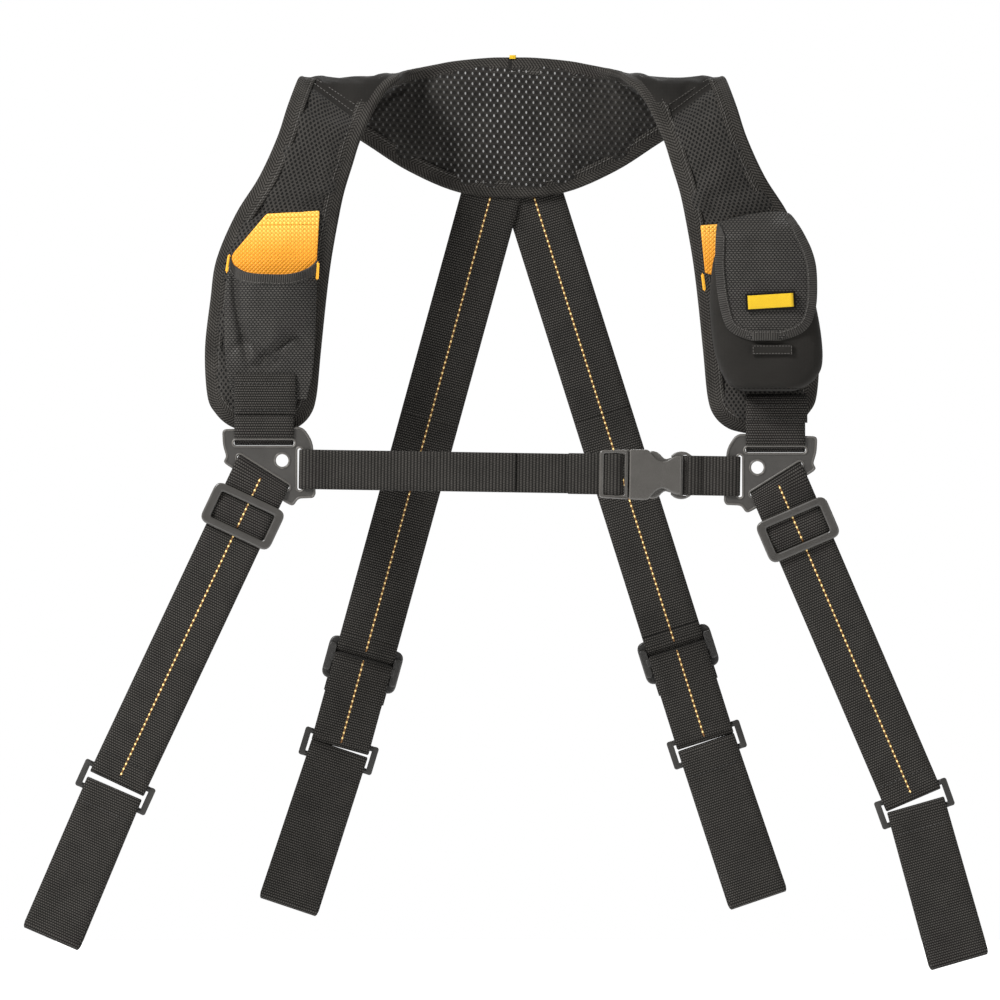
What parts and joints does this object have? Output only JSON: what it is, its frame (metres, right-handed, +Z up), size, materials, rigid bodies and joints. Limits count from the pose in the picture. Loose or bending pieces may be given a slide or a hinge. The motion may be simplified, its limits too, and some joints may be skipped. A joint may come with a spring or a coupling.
{
  "type": "tool belt suspenders",
  "caption": "Padded work suspenders for a tool belt: yoke over the shoulders, chest strap with side-release buckle, and adjustable straps ending in belt loops.",
  "frame": {"origin": "midway between the shoulders, level with the underside of the shoulder arches, at the mount shoulder_rest", "axes": "+X towards the wearer's left, -Y towards the wearer's front, +Z up"},
  "size_m": [0.6189, 0.1209, 0.5871],
  "materials": {
    "spacer_mesh": "matte",
    "plain_fabric": "matte",
    "ballistic_fabric": "matte",
    "dotted_mesh": "matte",
    "binding_tape": "matte",
    "webbing": "matte",
    "yellow_fabric": "matte",
    "yellow_trim": "matte",
    "plate_plastic": "matte",
    "buckle_plastic": "satin",
    "adjuster_plastic": "satin"
  },
  "bodies": {
    "yoke": {"anchor_patch_left": "webbing", "anchor_patch_right": "webbing", "back_binding": "binding_tape", "back_channel": "dotted_mesh", "back_panel": "dotted_mesh", "binding_left": "binding_tape", "binding_right": "binding_tape", "collar_binding": "binding_tape", "neck_tab": "yellow_trim", "pad_left": "spacer_mesh", "pad_right": "spacer_mesh", "pen_pocket": "ballistic_fabric", "phone_pouch": "plain_fabric", "pocket_backing_left": "yellow_fabric", "pocket_backing_right": "yellow_fabric", "pouch_tab": "ballistic_fabric", "shoulder_left": "plain_fabric", "shoulder_right": "plain_fabric"},
    "flap": {"pouch_flap": "ballistic_fabric", "flap_label": "yellow_trim"},
    "left_plate": {"plate_left": "plate_plastic", "anchor_loop_left": "webbing", "strap_loop_left": "webbing", "chest_strap_left": "webbing", "chest_slack": "webbing"},
    "socket": {"buckle_socket": "buckle_plastic", "chest_tail": "webbing"},
    "right_plate": {"plate_right": "plate_plastic", "anchor_loop_right": "webbing", "strap_loop_right": "webbing", "chest_strap_right": "webbing", "buckle_plug": "buckle_plastic"},
    "upper_prong": {"prong_upper": "buckle_plastic"},
    "lower_prong": {"prong_lower": "buckle_plastic"},
    "rear_straps": {"rear_left_strap": "webbing", "rear_right_strap": "webbing", "rear_left_strap_slack": "webbing", "rear_right_strap_slack": "webbing"},
    "front_left_strap": {"front_left_strap": "webbing", "front_left_strap_slack": "webbing", "front_left_strap_fold": "webbing"},
    "front_left_end": {"front_left_strap_end": "webbing"},
    "front_left_adjuster": {"front_left_adjuster": "adjuster_plastic"},
    "front_left_ring": {"front_left_ring": "adjuster_plastic"},
    "front_left_loop": {"front_left_belt_loop": "webbing"},
    "front_right_strap": {"front_right_strap": "webbing", "front_right_strap_slack": "webbing", "front_right_strap_fold": "webbing"},
    "front_right_end": {"front_right_strap_end": "webbing"},
    "front_right_adjuster": {"front_right_adjuster": "adjuster_plastic"},
    "front_right_ring": {"front_right_ring": "adjuster_plastic"},
    "front_right_loop": {"front_right_belt_loop": "webbing"},
    "rear_left_end": {"rear_left_strap_end": "webbing"},
    "rear_left_adjuster": {"rear_left_adjuster": "adjuster_plastic"},
    "rear_left_ring": {"rear_left_ring": "adjuster_plastic"},
    "rear_left_loop": {"rear_left_belt_loop": "webbing"},
    "rear_right_end": {"rear_right_strap_end": "webbing"},
    "rear_right_adjuster": {"rear_right_adjuster": "adjuster_plastic"},
    "rear_right_ring": {"rear_right_ring": "adjuster_plastic"},
    "rear_right_loop": {"rear_right_belt_loop": "webbing"}
  },
  "joints": [
    {"name": "plate_left_swing", "type": "hinge", "parent": "yoke", "child": "left_plate", "pos_m": [-0.1587, -0.0474, -0.2143], "axis": [-0.9999, 0, 0.0137], "range_deg": [-5, 40]},
    {"name": "plate_right_swing", "type": "hinge", "parent": "yoke", "child": "right_plate", "pos_m": [0.1686, -0.0474, -0.2188], "axis": [-0.9999, 0, 0.0137], "range_deg": [-5, 40]},
    {"name": "buckle_release", "type": "slide", "parent": "left_plate", "child": "socket", "axis": [-0.9999, 0, 0.016], "range_m": [0, 0.03], "deforming": ["chest_slack"]},
    {"name": "upper_prong_squeeze", "type": "hinge", "parent": "right_plate", "child": "upper_prong", "pos_m": [0.10614, -0.049, -0.23787], "axis": [0, -1, 0], "range_deg": [0, 6], "stiffness_Nm_per_rad": 0.4},
    {"name": "lower_prong_squeeze", "type": "hinge", "parent": "right_plate", "child": "lower_prong", "pos_m": [0.1058, -0.049, -0.25907], "axis": [0, 1, 0], "range_deg": [0, 6], "stiffness_Nm_per_rad": 0.4},
    {"name": "flap_open", "type": "hinge", "parent": "yoke", "child": "flap", "pos_m": [0.1635, -0.0466, -0.0823], "axis": [-1, 0, 0], "range_deg": [0, 90]},
    {"name": "rear_swing", "type": "hinge", "parent": "yoke", "child": "rear_straps", "pos_m": [0, 0.041, -0.0715], "axis": [1, 0, 0], "range_deg": [-20, 60]},
    {"name": "front_left_swing", "type": "hinge", "parent": "left_plate", "child": "front_left_strap", "pos_m": [-0.16456, -0.049, -0.258], "axis": [-0.9048, 0, 0.4258], "range_deg": [-45, 60]},
    {"name": "front_left_length", "type": "slide", "parent": "front_left_strap", "child": "front_left_end", "axis": [0.4258, 0, 0.9048], "range_m": [0, 0.06], "deforming": ["front_left_strap_slack"]},
    {"name": "front_left_adjuster_slide", "type": "slide", "parent": "front_left_strap", "child": "front_left_adjuster", "axis": [-0.4258, 0, -0.9048], "range_m": [0, 0.06]},
    {"name": "front_left_ring_turn", "type": "hinge", "parent": "front_left_end", "child": "front_left_ring", "pos_m": [-0.25074, -0.046, -0.44114], "axis": [-0.9114, 0, 0.4115], "range_deg": [-60, 60]},
    {"name": "front_left_loop_turn", "type": "hinge", "parent": "front_left_ring", "child": "front_left_loop", "pos_m": [-0.25692, -0.046, -0.45481], "axis": [-0.9114, 0, 0.4115], "range_deg": [-60, 60]},
    {"name": "front_right_swing", "type": "hinge", "parent": "right_plate", "child": "front_right_strap", "pos_m": [0.17406, -0.049, -0.26268], "axis": [-0.9191, 0, -0.3939], "range_deg": [-45, 60]},
    {"name": "front_right_length", "type": "slide", "parent": "front_right_strap", "child": "front_right_end", "axis": [-0.3939, 0, 0.9191], "range_m": [0, 0.06], "deforming": ["front_right_strap_slack"]},
    {"name": "front_right_adjuster_slide", "type": "slide", "parent": "front_right_strap", "child": "front_right_adjuster", "axis": [0.3939, 0, -0.9191], "range_m": [0, 0.06]},
    {"name": "front_right_ring_turn", "type": "hinge", "parent": "front_right_end", "child": "front_right_ring", "pos_m": [0.25498, -0.046, -0.45147], "axis": [-0.9421, 0, -0.3355], "range_deg": [-60, 60]},
    {"name": "front_right_loop_turn", "type": "hinge", "parent": "front_right_ring", "child": "front_right_loop", "pos_m": [0.26001, -0.046, -0.4656], "axis": [-0.9421, 0, -0.3355], "range_deg": [-60, 60]},
    {"name": "rear_left_length", "type": "slide", "parent": "rear_straps", "child": "rear_left_end", "axis": [0.2639, 0, 0.9646], "range_m": [0, 0.05], "deforming": ["rear_left_strap_slack"]},
    {"name": "rear_left_adjuster_slide", "type": "slide", "parent": "rear_left_end", "child": "rear_left_adjuster", "axis": [0.2639, 0, 0.9646], "range_m": [0, 0.05]},
    {"name": "rear_left_ring_turn", "type": "hinge", "parent": "rear_left_end", "child": "rear_left_ring", "pos_m": [-0.10922, 0.0369, -0.41827], "axis": [-0.9568, 0, 0.2907], "range_deg": [-60, 60]},
    {"name": "rear_left_loop_turn", "type": "hinge", "parent": "rear_left_ring", "child": "rear_left_loop", "pos_m": [-0.11358, 0.0369, -0.43262], "axis": [-0.9568, 0, 0.2907], "range_deg": [-60, 60]},
    {"name": "rear_right_length", "type": "slide", "parent": "rear_straps", "child": "rear_right_end", "axis": [-0.3007, 0, 0.9537], "range_m": [0, 0.05], "deforming": ["rear_right_strap_slack"]},
    {"name": "rear_right_adjuster_slide", "type": "slide", "parent": "rear_right_end", "child": "rear_right_adjuster", "axis": [-0.3007, 0, 0.9537], "range_m": [0, 0.05]},
    {"name": "rear_right_ring_turn", "type": "hinge", "parent": "rear_right_end", "child": "rear_right_ring", "pos_m": [0.12286, 0.0391, -0.41435], "axis": [-0.9502, 0, -0.3115], "range_deg": [-60, 60]},
    {"name": "rear_right_loop_turn", "type": "hinge", "parent": "rear_right_ring", "child": "rear_right_loop", "pos_m": [0.12753, 0.0391, -0.4286], "axis": [-0.9502, 0, -0.3115], "range_deg": [-60, 60]}
  ],
  "couplings": [
    {"joint": "plate_right_swing", "follows": "plate_left_swing", "ratio": 1},
    {"joint": "lower_prong_squeeze", "follows": "upper_prong_squeeze", "ratio": 1},
    {"joint": "front_left_adjuster_slide", "follows": "front_left_length", "ratio": 1},
    {"joint": "front_right_adjuster_slide", "follows": "front_right_length", "ratio": 1},
    {"joint": "rear_left_adjuster_slide", "follows": "rear_left_length", "ratio": 1},
    {"joint": "rear_right_adjuster_slide", "follows": "rear_right_length", "ratio": 1}
  ]
}
